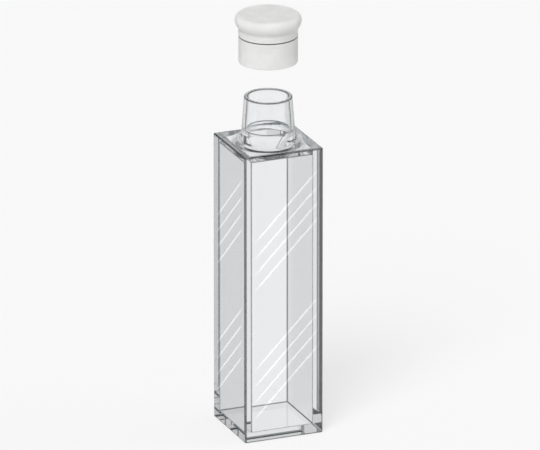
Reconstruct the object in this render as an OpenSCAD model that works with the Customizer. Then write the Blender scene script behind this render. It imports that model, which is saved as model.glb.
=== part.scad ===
// Stoppered square cuvette: a fused quartz cell with a conical neck, and a white push-on cap held above it.
// The origin is the centre of the base. +Z runs up the axis of the neck, and the windows face along Y.

/* [Glass body] */
// Outside width of the body, across a window
body_w = 12.5; // [11.6:0.1:30]
// Outside depth of the body, along the light path
body_d = 12.5; // [11.6:0.1:30]
// Height of the body, from the base to the flat top
body_h = 45; // [20:0.5:80]
// Thickness of the front and back windows
window_t = 1.25; // [0.6:0.05:2]
// Thickness of the two side walls
side_t = 1.25; // [0.6:0.05:2]
// Thickness of the base plate
base_t = 1.25; // [0.6:0.05:5]
// Thickness of the top plate
top_t = 1; // [0.6:0.05:3]
// Chamfer along every outer edge of the body
edge_chamfer = 0.2; // [0.05:0.05:0.5]

/* [Neck] */
// Outside diameter of the neck at its rim
rim_d = 7.2; // [6.4:0.1:7.8]
// Outside diameter of the neck's cone where the flare begins
cone_base_d = 7.9; // [7.2:0.1:8.8]
// Height of the neck's cone, from the flare to the rim
cone_h = 5.05; // [3:0.05:12]
// Thickness of the neck's wall
neck_wall = 0.6; // [0.4:0.05:1]
// Radius of the flare that joins the neck to the flat top
flare_r = 2; // [0.5:0.05:2.4]
// Radius of the melted edges of the rim
rim_round = 0.15; // [0.05:0.01:0.25]

/* [Cap] */
// Thickness of the cap's skirt at its mouth
skirt_wall = 0.4; // [0.3:0.05:1.5]
// Thickness of the cap's solid head above its socket
head_t = 2.15; // [1:0.05:5]
// Overhang of the rounded head beyond the skirt
head_out = 0.55; // [0.2:0.05:1.5]
// Height of the head's underside, from the skirt up to its widest point
head_drop = 1.25; // [0.5:0.05:2]
// Height of the head's shoulder, from its widest point up to the flat top
head_rise = 0.83; // [0.3:0.01:1.5]
// Width of the head's shoulder, from its widest point in to the flat top
head_in = 0.65; // [0.2:0.05:1.5]
// Height of the plain collar between the head and the fine ring below it
collar_h = 1.2; // [0.3:0.05:3]
// Width of the fine ring cut around the skirt
ring_w = 0.2; // [0.05:0.01:0.4]
// Depth of the fine ring
ring_depth = 0.1; // [0.02:0.01:0.2]
// Chamfer on both edges of the cap's mouth
mouth_chamfer = 0.1; // [0.02:0.01:0.18]

/* [Fit] */
// Clearance between the neck's cone and the cap's socket, measured across the axis, on each side
cone_gap = 0.06; // [0.02:0.01:0.1]
// Clearance between the skirt's mouth and the flare when the cap is seated
mouth_gap = 0.1; // [0.05:0.01:0.5]
// Clearance between the neck's rim and the end of the socket when the cap is seated
rim_gap = 0.2; // [0.05:0.01:0.5]
// Height of the cap above its seat
cap_lift = 10.4; // [0:0.1:40]

/* [Hidden] */
$fn = 96;
arc_steps = 16;   // straight steps along a rounded outline
foot_angle = 12;  // slope left at the flare's foot, where it meets the flat top
overlap = 0.5;    // how far the bore's cut runs past each face that it crosses

rim_r = rim_d / 2;
cone_base_r = cone_base_d / 2;
cone_slope = (cone_base_r - rim_r) / cone_h;
flare_h = flare_r * cos(foot_angle);
flare_end_r = cone_base_r + flare_r * (1 - sin(foot_angle));
cone_base_z = body_h + flare_h;
rim_z = cone_base_z + cone_h;
ceiling_z = body_h - top_t;
foot_z = body_h - top_t / 2; // the neck's foot is buried half way down the top plate
bore_rim_r = rim_r - neck_wall;
bore_base_r = cone_base_r - neck_wall;

seat_z = cone_base_z + mouth_gap;
socket_h = cone_h - mouth_gap + rim_gap;
mouth_r = cone_base_r - cone_slope * mouth_gap + cone_gap;
socket_end_r = mouth_r - cone_slope * socket_h;
skirt_r = mouth_r + skirt_wall;
head_r = skirt_r + head_out;
cap_h = socket_h + head_t;
widest_z = cap_h - head_rise;
ring_z = widest_z - head_drop - collar_h;

// Points along an arc about (x, z), from one angle to another.
function arc(x, z, r, from, to) = [
    for (i = [0:arc_steps])
        let (a = from + (to - from) * i / arc_steps)
        [x + r * cos(a), z + r * sin(a)]
];

// Radius and angle of the arc that leaves the vertical and moves in by dr over a height h.
function swell_r(dr, h) = (dr * dr + h * h) / (2 * dr);
function swell_angle(dr, h) = 2 * atan(dr / h);

// Rectangle centred on the origin, with its four corners cut off.
module cut_rectangle(w, h, c) {
    x = w / 2;
    y = h / 2;
    polygon([
        [x - c, -y], [x, c - y], [x, y - c], [x - c, y],
        [c - x, y], [-x, y - c], [-x, c - y], [c - x, -y]
    ]);
}

// The outer block, with a chamfer on each of its twelve edges.
module body_block() {
    translate([0, 0, body_h / 2])
        intersection() {
            linear_extrude(body_h, center = true)
                cut_rectangle(body_w, body_d, edge_chamfer);
            rotate([90, 0, 0])
                linear_extrude(body_d, center = true)
                    cut_rectangle(body_w, body_h, edge_chamfer);
            rotate([90, 0, 90])
                linear_extrude(body_w, center = true)
                    cut_rectangle(body_d, body_h, edge_chamfer);
        }
}

// Outside of the neck: melted rim, cone, and the flare that spreads onto the flat top.
module neck_solid() {
    rotate_extrude()
        polygon(concat(
            [[0, foot_z], [flare_end_r, foot_z]],
            arc(cone_base_r + flare_r, cone_base_z, flare_r, 270 - foot_angle, 180),
            arc(rim_r - rim_round, rim_z - rim_round, rim_round, 0, 90),
            [[0, rim_z]]
        ));
}

// The bore: a melted mouth, a cone beside the neck's own, then straight through the top plate.
module neck_bore() {
    rotate_extrude()
        polygon(concat(
            [[0, ceiling_z - overlap], [bore_base_r, ceiling_z - overlap], [bore_base_r, cone_base_z]],
            arc(bore_rim_r + rim_round, rim_z - rim_round, rim_round, 180, 90),
            [[bore_rim_r + rim_round, rim_z + overlap], [0, rim_z + overlap]]
        ));
}

// The cavity that holds the sample.
module cavity() {
    translate([side_t - body_w / 2, window_t - body_d / 2, base_t])
        cube([body_w - 2 * side_t, body_d - 2 * window_t, ceiling_z - base_t]);
}

module glass_cell() {
    color("#dfeef2")
        difference() {
            union() {
                body_block();
                neck_solid();
            }
            cavity();
            neck_bore();
        }
}

// Half of the cap's section, with its mouth at height 0.
module cap_section() {
    under = swell_r(head_out, head_drop);
    over = swell_r(head_in, head_rise);
    polygon(concat(
        [
            [mouth_r + mouth_chamfer, 0],
            [skirt_r - mouth_chamfer, 0],
            [skirt_r, mouth_chamfer],
            [skirt_r, ring_z - ring_w / 2],
            [skirt_r - ring_depth, ring_z],
            [skirt_r, ring_z + ring_w / 2]
        ],
        arc(head_r - under, widest_z, under, -swell_angle(head_out, head_drop), 0),
        arc(head_r - over, widest_z, over, 0, swell_angle(head_in, head_rise)),
        [
            [0, cap_h],
            [0, socket_h],
            [socket_end_r, socket_h],
            [mouth_r - cone_slope * mouth_chamfer, mouth_chamfer]
        ]
    ));
}

module cap() {
    color("white")
        translate([0, 0, seat_z + cap_lift])
            rotate_extrude()
                cap_section();
}

glass_cell();
cap();
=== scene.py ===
import math

import bmesh
import bpy
import numpy as np
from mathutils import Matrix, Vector


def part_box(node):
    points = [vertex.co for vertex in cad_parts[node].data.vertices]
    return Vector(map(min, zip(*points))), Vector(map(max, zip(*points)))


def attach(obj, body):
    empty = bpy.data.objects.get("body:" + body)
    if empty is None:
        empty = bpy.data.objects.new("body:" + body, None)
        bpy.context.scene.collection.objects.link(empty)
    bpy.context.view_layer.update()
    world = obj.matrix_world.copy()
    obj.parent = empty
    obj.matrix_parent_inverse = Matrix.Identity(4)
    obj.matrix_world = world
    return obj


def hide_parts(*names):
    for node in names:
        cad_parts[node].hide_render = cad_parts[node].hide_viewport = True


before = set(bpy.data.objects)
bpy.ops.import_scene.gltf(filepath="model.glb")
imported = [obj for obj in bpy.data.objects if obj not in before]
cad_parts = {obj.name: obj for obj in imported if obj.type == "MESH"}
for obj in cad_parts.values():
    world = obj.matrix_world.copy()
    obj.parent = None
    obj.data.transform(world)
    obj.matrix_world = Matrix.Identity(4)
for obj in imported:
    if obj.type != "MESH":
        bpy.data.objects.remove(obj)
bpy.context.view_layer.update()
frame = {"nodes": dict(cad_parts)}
mm = 0.001
sharpFrom = math.radians(35)  # faces that meet at more than this keep a sharp line
samePlace = 0.00001 * mm      # points closer than this become one
shortestEdge = 0.001 * mm     # a mesh edge counts as at least this long where a length divides
pureWhite = (1, 1, 1, 1)
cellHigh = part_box("glass_cell")[1]
capLow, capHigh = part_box("cap")
print("frame loaded with", ", ".join(frame["nodes"]))


# Points of an arc: centre + radius * cosine across, centre + radius * sine up.
def arcLine(x, z, radius, start, end, steps):
    angle = np.radians(np.linspace(start, end, steps + 1))
    return np.column_stack([x + radius * np.cos(angle), z + radius * np.sin(angle)])


# Points of a straight line, both ends included: begin * (1 - share) + end * share.
def straightLine(begin, end, steps):
    share = np.linspace(0, 1, steps + 1)[:, None]
    return np.array(begin) * (1 - share) + np.array(end) * share


# Points down a shallow groove in an upright wall: the wall's radius + depth * (1 + cosine) / 2.
def grooveLine(x, z, wide, deep, steps):
    share = np.linspace(-1, 1, steps + 1)
    return np.column_stack([x + deep * (1 + np.cos(math.pi * share)) / 2, z - share * wide / 2])


# Points of a cubic curve that leaves a towards b and comes in to d from c. The four are added up with the
# weights (1 - t)^3, 3 (1 - t)^2 t, 3 (1 - t) t^2 and t^3.
def easedLine(a, b, c, d, steps):
    t = np.linspace(0, 1, steps + 1)[:, None]
    a, b, c, d = (np.array(point) for point in (a, b, c, d))
    return (1 - t) ** 3 * a + 3 * (1 - t) ** 2 * t * b + 3 * (1 - t) * t**2 * c + t**3 * d


# Directions round a square of that half width: even along each side, and closer together round its soft
# corners. One eighth of the turn is worked out, then mirrored and carried round.
def squareAngles(half, corner, guard, sideSteps, cornerSteps):
    turn = np.radians(np.linspace(0, 45, cornerSteps + 1))
    side = np.linspace(0, math.atan2(half - corner - guard, half), sideSteps + 1)
    bend = np.arctan2(half - corner + corner * np.sin(turn), half - corner + corner * np.cos(turn))
    eighth = np.concatenate([side, bend])
    quarter = np.concatenate([eighth, math.pi / 2 - eighth[-2:0:-1]])
    return (quarter[None, :] + np.arange(4)[:, None] * math.pi / 2).ravel()


# Distance from the axis to a square outline with rounded corners, in each direction. A straight side is met
# at half / the larger of |cos| and |sin|, a corner at the far crossing with its circle: the distance to the
# place nearest the circle's centre, plus half the chord. Where corner = half the outline is a circle.
def ringRadius(half, corner, angles):
    across, along = np.abs(np.cos(angles)), np.abs(np.sin(angles))
    larger, smaller = np.maximum(across, along), np.minimum(across, along)
    flat = half / larger
    centre = half - corner
    nearest = centre * (across + along)
    bent = nearest + np.sqrt(np.maximum(nearest**2 - 2 * centre**2 + corner**2, 0))
    return np.where(flat * smaller <= centre, flat, bent)


# Rows of round rings from an outline of (radius, height): their corner radius is their half width.
def roundRows(outline):
    return outline[:, [0, 0, 1]]


# Closed surface whose rows are rings of (half width, corner radius, height), each carried round the axis:
# x = radius * cosine, y = radius * sine, z = height. The first and the last row shrink to a point.
def ringSurface(name, rows, angles, material):
    half, corner, height = rows.T[:, :, None]
    radius = ringRadius(half, corner, angles[None, :])
    high = np.broadcast_to(height, radius.shape)
    places = np.stack([radius * np.cos(angles), radius * np.sin(angles), high], axis=-1).reshape(-1, 3)
    index = np.arange(radius.size).reshape(radius.shape)
    onward = np.roll(index, -1, axis=1)
    faces = np.stack([index[:-1], onward[:-1], onward[1:], index[1:]], axis=-1).reshape(-1, 4)
    mesh = bpy.data.meshes.new(name)
    mesh.from_pydata(places.tolist(), [], faces.tolist())
    shell = bmesh.new()
    shell.from_mesh(mesh)
    bmesh.ops.remove_doubles(shell, verts=shell.verts, dist=samePlace)  # closes the poles
    shell.to_mesh(mesh)
    shell.free()
    mesh.shade_smooth()
    mesh.set_sharp_from_angle(angle=sharpFrom)
    mesh.materials.append(material)
    return newObject(name, mesh)


# Marks the small softened edges in a point attribute, from 0 on flats and wide curves to 1. The angle
# between the normals at the ends of a mesh edge, divided by its length, is how sharply the surface bends.
def markEdges(mesh, wideRadius, smallRadius):
    places = np.empty(3 * len(mesh.vertices))
    normals = np.empty_like(places)
    ends = np.empty(2 * len(mesh.edges), dtype=int)
    mesh.vertices.foreach_get("co", places)
    mesh.vertex_normals.foreach_get("vector", normals)
    mesh.edges.foreach_get("vertices", ends)
    places, normals = places.reshape(-1, 3), normals.reshape(-1, 3)
    one, other = ends.reshape(-1, 2).T
    turned = np.arccos(np.clip((normals[one] * normals[other]).sum(axis=1), -1, 1))
    bend = turned / np.maximum(np.linalg.norm(places[one] - places[other], axis=1), shortestEdge)
    sharpest = np.zeros(len(mesh.vertices))
    np.maximum.at(sharpest, one, bend)
    np.maximum.at(sharpest, other, bend)
    mask = np.clip((sharpest - 1 / wideRadius) / (1 / smallRadius - 1 / wideRadius), 0, 1)
    mesh.attributes.new("softEdge", "FLOAT", "POINT").data.foreach_set("value", mask)


def newObject(name, data):
    thing = bpy.data.objects.new(name, data)
    bpy.context.collection.objects.link(thing)
    return thing


def newMaterial(name):
    material = bpy.data.materials.new(name)
    material.use_nodes = True
    material.node_tree.nodes.clear()
    return material, material.node_tree


# Joins a socket to the one that is given, or sets its value.
def feed(tree, socket, value):
    if isinstance(value, bpy.types.NodeSocket):
        tree.links.new(value, socket)
    else:
        socket.default_value = value


# Adds a node and fills its sockets by name, with _ for a space, or sets the node's own choices.
def addNode(tree, kind, **settings):
    node = tree.nodes.new(kind)
    for key, value in settings.items():
        socket = key.replace("_", " ")
        if socket in node.inputs:
            feed(tree, node.inputs[socket], value)
        else:
            setattr(node, key, value)
    return node


def compute(tree, operation, *terms):
    node = addNode(tree, "ShaderNodeMath", operation=operation)
    for socket, value in zip(node.inputs, terms):
        feed(tree, socket, value)
    return node.outputs[0]


def softStep(tree, value, low, high, begin=0.0, end=1.0):
    step = addNode(tree, "ShaderNodeMapRange", interpolation_type="SMOOTHSTEP", Value=value,
                   From_Min=low, From_Max=high, To_Min=begin, To_Max=end)
    return step.outputs["Result"]


def mixColours(tree, share, first, second):
    mix = addNode(tree, "ShaderNodeMix", data_type="RGBA")
    feed(tree, mix.inputs["Factor"], share)
    feed(tree, mix.inputs[6], first)
    feed(tree, mix.inputs[7], second)
    return mix.outputs[2]


def mixShaders(tree, share, first, second):
    mix = addNode(tree, "ShaderNodeMixShader", Fac=share)
    tree.links.new(first.outputs[0], mix.inputs[1])
    tree.links.new(second.outputs[0], mix.inputs[2])
    return mix


def finishMaterial(tree, shader, inside=None):
    output = tree.nodes.new("ShaderNodeOutputMaterial")
    tree.links.new(shader.outputs[0], output.inputs["Surface"])
    if inside:
        tree.links.new(inside.outputs[0], output.inputs["Volume"])


# Soft patches over a surface, between a low and a high value: a noise in space, stretched to fill them.
def patchesGroup():
    tree = bpy.data.node_groups.new("softPatches", "ShaderNodeTree")
    for name, value in (("Size", 1 * mm), ("Low", 0.0), ("High", 1.0)):
        tree.interface.new_socket(name, in_out="INPUT", socket_type="NodeSocketFloat").default_value = value
    tree.interface.new_socket("Value", in_out="OUTPUT", socket_type="NodeSocketFloat")
    given = tree.nodes.new("NodeGroupInput").outputs
    place = tree.nodes.new("ShaderNodeTexCoord").outputs["Object"]
    scale = compute(tree, "DIVIDE", 1.0, given["Size"])
    noise = addNode(tree, "ShaderNodeTexNoise", Vector=place, Scale=scale, Detail=2.0)
    # the noise seldom leaves the range from 0.35 to 0.65
    spread = addNode(tree, "ShaderNodeMapRange", Value=noise.outputs[0], From_Min=0.35, From_Max=0.65,
                     To_Min=given["Low"], To_Max=given["High"])
    addNode(tree, "NodeGroupOutput", Value=spread.outputs[0])
    return tree


softPatches = patchesGroup()


def patches(tree, size, low, high):
    return addNode(tree, "ShaderNodeGroup", node_tree=softPatches, Size=size, Low=low, High=high).outputs[0]


# Polished all over with a trace of haze, fine-ground on its softened edges, which also carry painted dark
# grey shade, and faintly wavy where the neck was worked in the flame. The neck also takes painted grey
# shade where its wall turns away from the eye.
def clearQuartz(p):
    material, tree = newMaterial("clearQuartz")
    edge = addNode(tree, "ShaderNodeAttribute", attribute_name="softEdge").outputs["Fac"]
    ground = softStep(tree, edge, 0.0, 1.0, 0.0, p["edgeRough"])
    rough = compute(tree, "ADD", ground, patches(tree, p["hazeSize"], 0.0, p["haze"]))
    place = tree.nodes.new("ShaderNodeTexCoord").outputs["Object"]
    high = addNode(tree, "ShaderNodeSeparateXYZ", Vector=place).outputs["Z"]
    worked = softStep(tree, high, p["bodyHigh"] + p["workedFrom"], p["bodyHigh"] + p["workedTo"])
    wave = compute(tree, "MULTIPLY", worked, patches(tree, p["waveSize"], 0.0, 1.0))
    bump = addNode(tree, "ShaderNodeBump", Height=wave, Distance=p["waveDeep"], Strength=1.0)
    slant = tree.nodes.new("ShaderNodeLayerWeight").outputs["Facing"]
    aside = compute(tree, "MULTIPLY", worked, softStep(tree, slant, p["slantFrom"], p["slantTo"]))
    # painted shade: a dark grey colour on the softened edges and where the neck's wall turns away from the
    # eye
    grey = compute(tree, "MAXIMUM", edge, aside)
    colour = mixColours(tree, grey, p["tint"], p["paintedEdgeShade"])
    shader = addNode(tree, "ShaderNodeBsdfPrincipled", Base_Color=colour, IOR=p["bending"], Roughness=rough,
                     Transmission_Weight=1.0, Normal=bump.outputs[0])
    depth = addNode(tree, "ShaderNodeVolumeAbsorption", Color=p["depthColour"], Density=p["depth"])
    finishMaterial(tree, shader, depth)
    return material


# Waxy white with faint clouds, a soft light under its skin, fine marks from turning and a shaded ring. The
# marks are a noise over radius + height, so they run round the axis on the walls and on the flat top.
def whitePtfe(p):
    material, tree = newMaterial("whitePtfe")
    place = tree.nodes.new("ShaderNodeTexCoord").outputs["Object"]
    split = addNode(tree, "ShaderNodeSeparateXYZ", Vector=place).outputs
    squares = (compute(tree, "POWER", split[axis], 2.0) for axis in "XY")
    radius = compute(tree, "SQRT", compute(tree, "ADD", *squares))
    along = compute(tree, "DIVIDE", compute(tree, "ADD", radius, split["Z"]), p["markPitch"])
    marks = addNode(tree, "ShaderNodeTexNoise", noise_dimensions="1D", W=along, Scale=1.0, Detail=3.0)
    bump = addNode(tree, "ShaderNodeBump", Height=marks.outputs[0], Distance=p["markDeep"], Strength=1.0)
    away = compute(tree, "ABSOLUTE", compute(tree, "SUBTRACT", split["Z"], p["ringHigh"]))
    shaded = softStep(tree, away, p["shadeFull"], p["shadeEnd"], 1.0, 0.0)
    cloudy = mixColours(tree, patches(tree, p["cloudSize"], 0.0, 1.0), p["colour"], p["cloudColour"])
    colour = mixColours(tree, shaded, cloudy, p["ringShade"])
    dull = patches(tree, p["dullSize"], p["smoothest"], p["dullest"])
    shader = addNode(tree, "ShaderNodeBsdfPrincipled", Base_Color=colour, IOR=p["bending"], Roughness=dull,
                     Subsurface_Weight=p["underSkin"], Subsurface_Radius=p["skinColours"],
                     Subsurface_Scale=p["skinDeep"], Normal=bump.outputs[0])
    finishMaterial(tree, shader)
    return material


cell = {
    "bodyHigh": 45 * mm,      # base to flat top
    "wall": 1.25 * mm,        # windows, sides and base
    "topPlate": 1 * mm,
    "edge": 0.2 * mm,         # softened outer edges
    "edgeCorner": 0.03 * mm,  # what is left of a corner on a flat face
    "innerEdge": 0.12 * mm,   # soft line where the plates are fused, inside
    "innerCorner": 0.018 * mm,
    "coneHigh": 5.05 * mm,
    "coneWide": 7.9 * mm,     # where the flare begins
    "rimWide": 7.2 * mm,
    "neckWall": 0.6 * mm,
    "rimRound": 0.15 * mm,
    "rimGuard": 0.07 * mm,    # keeps the flat of the rim clear between its two edges
    "flare": 1.9 * mm,        # how far the flare spreads
    "flarePull": 0.55,        # at which its curve is nearly a quarter round
    "seam": 0.14 * mm,        # fused line inside the bore, at the foot of the cone
    "seamDeep": 0.03 * mm,
    "mouthRound": 0.55 * mm,  # lower edge of the bore
    "guard": 0.05 * mm,       # extra ring beside each bend, which keeps the flats flat
    "bendSteps": 8,
    "wallSteps": 8,
    "flareSteps": 20,
    "sideSteps": 18,          # half of one side, in plan
    "cornerSteps": 6,         # half of one corner
    "tint": (0.985, 0.995, 1.0, 1),
    "bending": 1.46,
    # painted shade: dark grey colour of the softened edges and of the neck where it turns away from the eye
    "paintedEdgeShade": (0.12, 0.135, 0.14, 1),
    "edgeRough": 0.25,
    "polishedRound": 0.6 * mm,   # a bend this wide is still polished
    "groundRound": 0.35 * mm,    # one this small is fine-ground all over
    "slantFrom": 0.6,            # where the neck turns grey: 0 faces the eye, 1 is edge on
    "slantTo": 0.85,
    "depthColour": (0.36, 0.42, 0.43, 1),
    "depth": 15.0,               # light taken up in a metre, which shows where the glass is seen edge on
    "haze": 0.012,               # trace of roughness left by polishing
    "hazeSize": 5 * mm,
    "workedFrom": 0.3 * mm,      # flame-worked glass begins this far above the flat top
    "workedTo": 2 * mm,
    "waveSize": 2.5 * mm,
    "waveDeep": 0.006 * mm,
}


# The cell in one closed skin: base, outside walls, flat top, flare, cone and rim, then down the bore, out
# along the ceiling, down the cavity and in over its floor.
def makeCell(p):
    half = cellHigh.x
    top, rim = p["bodyHigh"], cellHigh.z
    ceiling, floor = top - p["topPlate"], p["wall"]
    edge, guard, corner, steps = p["edge"], p["guard"], p["edgeCorner"], p["bendSteps"]
    coneFoot = rim - p["coneHigh"]
    outRim, outCone = p["rimWide"] / 2, p["coneWide"] / 2
    inRim, inCone = outRim - p["neckWall"], outCone - p["neckWall"]
    lean = (outCone - outRim) / p["coneHigh"]

    # straight rows up or down a square wall, with one corner radius
    def wallRows(half, corner, begin, end):
        x, z = straightLine((half, begin), (half, end), p["wallSteps"]).T
        return np.column_stack([x, np.full_like(x, corner), z])

    # quarter round along a square's edge: its corner radius grows with its reach
    def bendRows(half, corner, z, size, start, end):
        x, high = arcLine(half - size, z, size, start, end, steps).T
        return np.column_stack([x, corner + x - (half - size), high])

    outside = np.vstack([
        [(0, 0, 0), (half - edge - guard, corner, 0)],
        bendRows(half, corner, edge, edge, -90, 0),
        wallRows(half, corner + edge, edge + guard, top - edge - guard),
        bendRows(half, corner, top - edge, edge, 0, 90),
        [(half - edge - guard, corner, top)],
    ])

    foot = outCone + p["flare"]
    pull = p["flarePull"] * p["flare"]
    melted = p["rimRound"]
    lip = p["mouthRound"]
    neck = np.vstack([
        [(foot + guard / 2, top)],
        easedLine((foot, top), (foot - pull, top), (outCone + lean * pull, coneFoot - pull),
                  (outCone, coneFoot), p["flareSteps"]),
        straightLine((outCone, coneFoot), (outRim, rim - melted - guard), p["wallSteps"])[1:],
        arcLine(outRim - melted, rim - melted, melted, 0, 90, steps),
        [(outRim - melted - p["rimGuard"], rim), (inRim + melted + p["rimGuard"], rim)],
        arcLine(inRim + melted, rim - melted, melted, 90, 180, steps),
        straightLine((inRim, rim - melted - guard), (inCone, coneFoot + p["seam"]), p["wallSteps"]),
        grooveLine(inCone, coneFoot, p["seam"], p["seamDeep"], steps),
        straightLine((inCone, coneFoot - p["seam"]), (inCone, ceiling + lip), p["wallSteps"] // 2),
        arcLine(inCone + lip, ceiling + lip, lip, 180, 270, steps),
        [(inCone + lip + guard, ceiling)],
    ])

    hollow = half - p["wall"]
    inner, innerCorner = p["innerEdge"], p["innerCorner"]
    cavity = np.vstack([
        [(hollow - inner - guard, innerCorner, ceiling)],
        bendRows(hollow, innerCorner, ceiling - inner, inner, 90, 0),
        wallRows(hollow, innerCorner + inner, ceiling - inner - guard, floor + inner + guard),
        bendRows(hollow, innerCorner, floor + inner, inner, 0, -90),
        [(hollow - inner - guard, innerCorner, floor), (0, 0, floor)],
    ])

    rows = np.vstack([outside, roundRows(neck), cavity])
    angles = squareAngles(half, corner + edge, guard, p["sideSteps"], p["cornerSteps"])
    piece = ringSurface("quartzCell", rows, angles, clearQuartz(p))
    markEdges(piece.data, p["polishedRound"], p["groundRound"])
    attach(piece, "cell")
    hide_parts("glass_cell")
    print("glass cell made,", len(piece.data.polygons), "faces")


cap = {
    "socketDeep": 5.15 * mm,
    "skirtWall": 0.4 * mm,
    "headOut": 0.55 * mm,    # overhang of the head
    "headDrop": 1.25 * mm,   # underside of the head, up to its widest point
    "headRise": 0.83 * mm,   # from there to the flat top
    "headIn": 0.65 * mm,
    "collar": 1.2 * mm,      # plain band between the head and the ring
    "ringWide": 0.2 * mm,
    "ringDeep": 0.2 * mm,
    "crease": 0.45 * mm,     # hollow rounding under the head
    "creasePull": 0.2,       # the lower, the tighter the crease
    "soft": 0.08 * mm,       # rounding of the mouth's edges and of the socket's end
    "guard": 0.05 * mm,      # extra ring inside the shoulder, which keeps the top flat
    "headSteps": 24,
    "creaseTakes": 4,        # how many of them make way for the crease
    "creaseSteps": 10,
    "shoulderSteps": 16,
    "collarSteps": 4,
    "skirtSteps": 6,
    "mouthSteps": 5,         # each of the mouth's two edges
    "socketSteps": 6,
    "turnSteps": 160,
    "colour": (0.82, 0.82, 0.81, 1),
    "cloudColour": (0.77, 0.77, 0.76, 1),
    "cloudSize": 2.5 * mm,
    "bending": 1.35,
    "smoothest": 0.36,       # roughness, and the size of its patches
    "dullest": 0.46,
    "dullSize": 1.25 * mm,
    "underSkin": 0.2,        # share of light that goes in and comes out nearby
    "skinColours": (1.0, 0.9, 0.8),
    "skinDeep": 0.4 * mm,
    "ringShade": (0.2, 0.2, 0.2, 1),
    "shadeFull": 0.06 * mm,  # the ring's shade is full this near its middle
    "shadeEnd": 0.12 * mm,
    "markPitch": 0.4 * mm,   # turning marks
    "markDeep": 0.025 * mm,
}


# The cap turned from one outline: socket end, socket wall, mouth, skirt, ring, collar, head and flat top.
def makeCap(p):
    low, high, wide = capLow.z, capHigh.z, capHigh.x
    skirt = wide - p["headOut"]
    mouth = skirt - p["skirtWall"]
    lean = (cell["coneWide"] - cell["rimWide"]) / 2 / cell["coneHigh"]
    socketEnd = mouth - lean * p["socketDeep"]
    deep = low + p["socketDeep"]
    widest = high - p["headRise"]
    under = widest - p["headDrop"]
    ring = under - p["collar"]
    ringWide, soft, crease = p["ringWide"], p["soft"], p["crease"]

    # radius and angle of an arc that leaves the vertical and moves in over a height:
    # (inward^2 + height^2) / (2 * inward), and twice the angle whose tangent is inward / height
    def swell(inward, height):
        return (inward**2 + height**2) / (2 * inward), math.degrees(2 * math.atan2(inward, height))

    underRound, underTurn = swell(p["headOut"], p["headDrop"])
    overRound, overTurn = swell(p["headIn"], p["headRise"])
    head = arcLine(wide - underRound, widest, underRound, -underTurn, 0, p["headSteps"])[p["creaseTakes"]:]
    beforeHead = 2 * head[0] - head[1]  # carries the arc's line one step back
    outline = np.vstack([
        [(0, deep)],
        arcLine(socketEnd - soft, deep - soft, soft, 90, 0, p["socketSteps"]),
        straightLine((socketEnd, deep - 2 * soft), (mouth, low + 2 * soft), p["socketSteps"]),
        arcLine(mouth + soft, low + soft, soft, 180, 270, p["mouthSteps"]),
        arcLine(skirt - soft, low + soft, soft, 270, 360, p["mouthSteps"]),
        straightLine((skirt, low + 2 * soft), (skirt, ring - ringWide), p["skirtSteps"]),
        [(skirt, ring - ringWide / 2), (skirt - p["ringDeep"], ring), (skirt, ring + ringWide / 2)],
        straightLine((skirt, ring + ringWide), (skirt, under - crease), p["collarSteps"]),
        easedLine((skirt, under - crease), (skirt, under - p["creasePull"] * crease),
                  beforeHead, head[0], p["creaseSteps"])[1:-1],
        head,
        arcLine(wide - overRound, widest, overRound, 0, overTurn, p["shoulderSteps"])[1:],
        [(wide - p["headIn"] - p["guard"], high), (0, high)],
    ])
    angles = np.linspace(0, 2 * math.pi, p["turnSteps"], endpoint=False)
    piece = ringSurface("pushOnCap", roundRows(outline), angles, whitePtfe(dict(p, ringHigh=ring)))
    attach(piece, "cap")
    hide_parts("cap")
    print("cap made,", len(piece.data.polygons), "faces")


makeCell(cell)
makeCap(cap)

studio = {
    "floorWide": 12.0,
    "floorDrop": 0.02 * mm,
    "floorColour": 0.88,
    "glow": 0.7,          # share of the floor's white that comes from its colour alone
    "backdrop": 0.95,     # white behind the object, level with the floor
    "ambient": 0.24,      # even light on matt things
    "walls": 0.68,        # the room between its cards, as the glass sees it
    # white cards on the walls: degrees from behind the cell round to its left, half width, brightness
    "cards": ((-135, 14, 0.88), (-90, 14, 0.88), (-14, 18, 0.88), (45, 14, 0.88), (90, 14, 0.88),
              (180, 26, 0.75)),
    # dark strips below the horizon, given in the same way
    "strips": ((22.5, 4, 0.12), (-67.5, 4, 0.07)),
    "soft": 5,            # degrees over which a card or a strip ends
    # heights in degrees above the horizon, from where a change begins to where it ends
    "stripsEnd": (4, 12),
    "whiteBelow": (-70, -50),
    "ceilingFrom": (16, 30),
    "ceiling": 0.07,      # brightness overhead, as the glass sees it
}


def makeFloor(p):
    reach, low = p["floorWide"] / 2, -p["floorDrop"]
    corners = [(-reach, -reach, low), (reach, -reach, low), (reach, reach, low), (-reach, reach, low)]
    mesh = bpy.data.meshes.new("floor")
    mesh.from_pydata(corners, [], [(0, 1, 2, 3)])
    floor = newObject("floor", mesh)
    material, tree = newMaterial("paleFloor")
    shade = p["floorColour"]
    lit = addNode(tree, "ShaderNodeBsdfDiffuse", Color=(shade, shade, shade, 1))
    glow = addNode(tree, "ShaderNodeEmission", Color=pureWhite, Strength=1.0)
    path = tree.nodes.new("ShaderNodeLightPath").outputs
    seen = compute(tree, "MAXIMUM", path["Is Camera Ray"], path["Is Glossy Ray"])
    seen = compute(tree, "MAXIMUM", seen, path["Is Transmission Ray"])
    finishMaterial(tree, mixShaders(tree, compute(tree, "MULTIPLY", seen, p["glow"]), lit, glow))
    mesh.materials.append(material)
    floor.visible_transmission = False
    floor.visible_glossy = False


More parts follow.
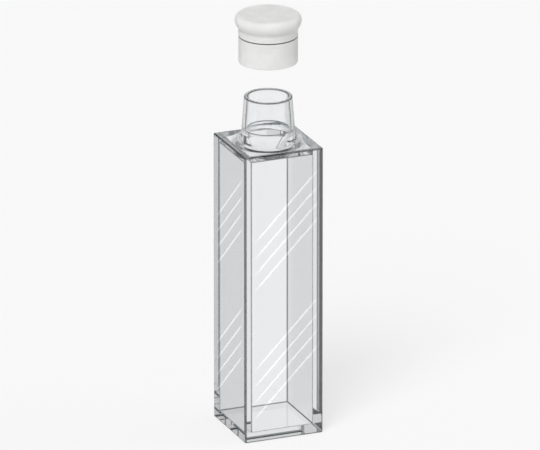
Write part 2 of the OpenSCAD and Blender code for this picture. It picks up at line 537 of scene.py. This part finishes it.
# The world is white to the camera and an even light to matt things. To glass it is a pale room with
# whiter cards on its walls, a dim ceiling, and two dark strips that the neck and the upright edges pick up.
def makeWorld(p):
    world = bpy.data.worlds.new("studio")
    bpy.context.scene.world = world
    world.use_nodes = True
    tree = world.node_tree
    tree.nodes.clear()
    place = tree.nodes.new("ShaderNodeTexCoord").outputs["Generated"]
    split = addNode(tree, "ShaderNodeSeparateXYZ", Vector=place).outputs
    turn = compute(tree, "ARCTAN2", compute(tree, "MULTIPLY", split["X"], -1.0), split["Y"])

    def card(centre, half, level, beside):
        facing = compute(tree, "COSINE", compute(tree, "SUBTRACT", turn, math.radians(centre)))
        outside, inside = (math.cos(math.radians(half + side * p["soft"] / 2)) for side in (1, -1))
        return softStep(tree, facing, outside, inside, beside, level)

    def overHeight(degrees, begin, end):
        low, high = (math.sin(math.radians(angle)) for angle in degrees)
        return softStep(tree, split["Z"], low, high, begin, end)

    walls = p["walls"]
    for white in p["cards"]:
        walls = compute(tree, "MAXIMUM", walls, card(*white, p["walls"]))
    stripsEnd = overHeight(p["stripsEnd"], 0.0, p["walls"])
    for strip in p["strips"]:
        walls = compute(tree, "MINIMUM", walls, compute(tree, "MAXIMUM", stripsEnd, card(*strip, 1.0)))
    walls = compute(tree, "MAXIMUM", walls, overHeight(p["whiteBelow"], 1.0, 0.0))
    level = compute(tree, "MINIMUM", walls, overHeight(p["ceilingFrom"], 1.0, p["ceiling"]))
    ambient, room, backdrop = (
        addNode(tree, "ShaderNodeBackground", Color=pureWhite, Strength=strength)
        for strength in (p["ambient"], level, p["backdrop"])
    )
    path = tree.nodes.new("ShaderNodeLightPath").outputs
    throughGlass = compute(tree, "MAXIMUM", path["Is Glossy Ray"], path["Is Transmission Ray"])
    unseen = mixShaders(tree, throughGlass, ambient, room)
    seen = mixShaders(tree, path["Is Camera Ray"], unseen, backdrop)
    output = tree.nodes.new("ShaderNodeOutputWorld")
    tree.links.new(seen.outputs[0], output.inputs["Surface"])


streaks = {
    "heights": (12.7 * mm, 33 * mm),  # middles of the two groups on a face
    "apart": 2.55 * mm,
    "count": 4,
    "wide": 0.4 * mm,
    "span": 10.3 * mm,
    "fade": 0.125,            # share of a slit's length over which its light comes up
    "steps": (24, 6),         # along a slit and over its width
    # for each panel: degrees to the right of the front, its distance from the face, its shift to the right
    # and its drop in millimetres, the slope of its slits and their brightness
    "panels": (
        (0, 8, 3.6, 3.4, 1.01, 7.0),
        (-90, 5, -12.1, 4.8, 0.89, 1.8),
        (90, 5, 5.0, 3.3, 0.95, 2.5),
        (180, 3, -3.0, 1.2, 0.95, 4.0),
    ),
}


# Light of a slit, which only a first reflection shows: the inside of the glass doesn't repeat it.
def litSlit(name, level):
    material, tree = newMaterial(name)
    veil = addNode(tree, "ShaderNodeAttribute", attribute_name="veil").outputs["Fac"]
    passed = tree.nodes.new("ShaderNodeLightPath").outputs["Transmission Depth"]
    share = compute(tree, "MULTIPLY", veil, compute(tree, "LESS_THAN", passed, 0.5))
    clear = tree.nodes.new("ShaderNodeBsdfTransparent")
    glow = addNode(tree, "ShaderNodeEmission", Color=pureWhite, Strength=level)
    finishMaterial(tree, mixShaders(tree, share, clear, glow))
    return material


# Slits in front of each face, which the glass mirrors as slanted streaks. Along a slit x = share * span and
# z = its middle + share * span * slope, and over it z grows by the slit's width measured upright. The light
# fades out at the ends and over the width.
def makeStreaks(p):
    alongSteps, overSteps = p["steps"]
    along, over = np.meshgrid(np.linspace(-0.5, 0.5, alongSteps + 1), np.linspace(-0.5, 0.5, overSteps + 1))
    veil = np.minimum(1, (0.5 - np.abs(along)) / p["fade"]) * (1 - (2 * np.abs(over)) ** 2)
    shifts = (np.arange(p["count"]) - (p["count"] - 1) / 2) * p["apart"]
    middles = (np.array(p["heights"])[:, None] + shifts).reshape(-1, 1, 1)
    index = np.arange(middles.size * along.size).reshape(-1, *along.shape)
    faces = np.stack([index[:, :-1, :-1], index[:, :-1, 1:], index[:, 1:, 1:], index[:, 1:, :-1]], axis=-1)
    for number, (turn, away, shift, drop, slope, level) in enumerate(p["panels"]):
        z = middles - drop * mm + along * p["span"] * slope + over * p["wide"] * math.hypot(1, slope)
        x = np.broadcast_to(along * p["span"] + shift * mm, z.shape)
        y = np.full_like(z, -cellHigh.x - away * mm)
        c, s = math.cos(math.radians(turn)), math.sin(math.radians(turn))
        places = np.stack([c * x - s * y, s * x + c * y, z], axis=-1)
        mesh = bpy.data.meshes.new("slits%d" % number)
        mesh.from_pydata(places.reshape(-1, 3).tolist(), [], faces.reshape(-1, 4).tolist())
        light = np.broadcast_to(veil, z.shape).ravel()
        mesh.attributes.new("veil", "FLOAT", "POINT").data.foreach_set("value", light)
        mesh.materials.append(litSlit("litSlit%d" % number, level))
        panel = newObject("slits%d" % number, mesh)
        panel.visible_camera = False
        panel.visible_shadow = False
        panel.visible_diffuse = False
        panel.visible_transmission = False


# Unit vector towards a place: degrees to the right of the front window, and degrees above the floor.
def towards(turn, rise):
    turn, rise = math.radians(turn), math.radians(rise)
    return Vector((math.sin(turn) * math.cos(rise), -math.cos(turn) * math.cos(rise), math.sin(rise)))


lamps = {
    # direction and height in degrees, strength, and the sun's own width in degrees
    "keyLight": (-42, 50, 0.78, 30),
    "fillLight": (75, 35, 0.15, 40),
}


def addSun(name, turn, rise, level, spread):
    light = bpy.data.lights.new(name, "SUN")
    light.energy = level * math.pi  # at level 1 a white face turned to it shows as white
    light.angle = math.radians(spread)
    lamp = newObject(name, light)
    lamp.rotation_euler = towards(turn, rise).to_track_quat("Z", "Y").to_euler()
    lamp.visible_transmission = False
    lamp.visible_glossy = False


makeFloor(studio)
makeWorld(studio)
makeStreaks(streaks)
for name, values in lamps.items():
    addSun(name, *values)
print("floor, world and lamps made")

camera = {
    "turn": -22.4,        # to the left of the front window
    "rise": 20.0,
    "lens": 700.0,        # long, so that upright edges stay parallel
    "seenWide": 80.13 * mm,
    "aimRight": 0.27 * mm,
    "aimHigh": 31.66 * mm,
    "nearest": 0.1,
    "farthest": 20,
}


def makeCamera(p):
    back = towards(p["turn"], p["rise"])
    turn = math.radians(p["turn"])
    right = Vector((math.cos(turn), math.sin(turn), 0))
    data = bpy.data.cameras.new("camera")
    data.lens = p["lens"]
    data.clip_start = p["nearest"]
    data.clip_end = p["farthest"]
    holder = newObject("camera", data)
    distance = p["seenWide"] * data.lens / data.sensor_width
    holder.location = right * p["aimRight"] + Vector((0, 0, p["aimHigh"])) + back * distance
    holder.rotation_euler = back.to_track_quat("Z", "Y").to_euler()
    bpy.context.scene.camera = holder


makeCamera(camera)
glassBounces = 96  # light meets many faces before it leaves the glass
mattBounces = 4
scene = bpy.context.scene
scene.view_settings.view_transform = "Standard"
scene.cycles.max_bounces = glassBounces
scene.cycles.transmission_bounces = glassBounces
scene.cycles.glossy_bounces = glassBounces
scene.cycles.diffuse_bounces = mattBounces
print("camera made")
